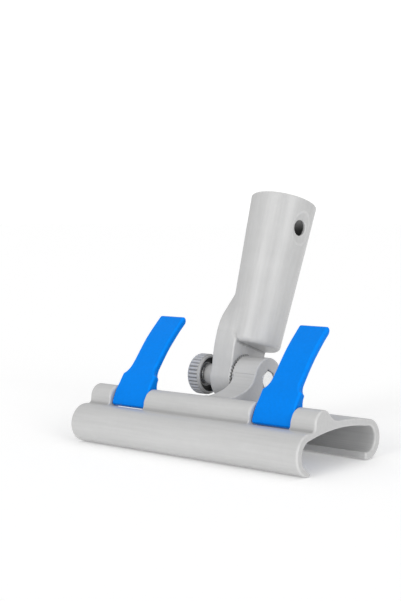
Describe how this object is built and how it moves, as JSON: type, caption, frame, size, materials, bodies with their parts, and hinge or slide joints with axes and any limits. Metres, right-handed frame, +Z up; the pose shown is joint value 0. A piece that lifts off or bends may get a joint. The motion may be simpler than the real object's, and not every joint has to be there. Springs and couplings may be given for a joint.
{
  "type": "blade holder pole adapter",
  "caption": "Clamp-on head for a wide blade, with cam levers and a toothed swivel that carries a tapered pole socket.",
  "frame": {"origin": "middle of the whole object's box in X and Y, at the plane the clamp's two lips stand on", "axes": "+X along the clamp towards the bolt head's side, +Y from the front lip to the rear hook, +Z up"},
  "size_m": [0.16, 0.12, 0.1459],
  "materials": {
    "grey_plastic": "satin moulded light grey",
    "dark_grey_plastic": "satin moulded mid grey, ribbed",
    "blue_plastic": "satin moulded bright blue",
    "zinc_steel": "bright zinc plating"
  },
  "bodies": {
    "clamp": {"clamp_body": "grey_plastic", "lever_pin_left": "zinc_steel", "lever_pin_right": "zinc_steel", "pivot_bolt": "zinc_steel"},
    "lever_l": {"lever_left": "blue_plastic"},
    "lever_r": {"lever_right": "blue_plastic"},
    "washer": {"thrust_washer": "zinc_steel"},
    "socket": {"pole_socket": "grey_plastic"},
    "knob": {"clamp_knob": "dark_grey_plastic", "knob_nut": "zinc_steel"}
  },
  "joints": [
    {"name": "lever_left_close", "type": "hinge", "parent": "clamp", "child": "lever_l", "pos_m": [-0.0509, -0.03619, 0.025], "axis": [-1, 0, 0], "range_deg": [0, 48]},
    {"name": "lever_right_close", "type": "hinge", "parent": "clamp", "child": "lever_r", "pos_m": [0.0509, -0.03619, 0.025], "axis": [-1, 0, 0], "range_deg": [0, 48]},
    {"name": "swivel_slack", "type": "slide", "parent": "clamp", "child": "washer", "axis": [1, 0, 0], "range_m": [0, 0.0009]},
    {"name": "socket_tilt", "type": "hinge", "parent": "washer", "child": "socket", "pos_m": [0, 0.00441, 0.03785], "axis": [-1, 0, 0], "range_deg": [-63, 63]},
    {"name": "knob_turn", "type": "hinge", "parent": "washer", "child": "knob", "pos_m": [-0.032, 0.00441, 0.03785], "axis": [1, 0, 0], "range_deg": [0, 325]}
  ],
  "couplings": [
    {"joint": "knob_turn", "follows": "swivel_slack", "rad_per_m": 6283.2}
  ]
}
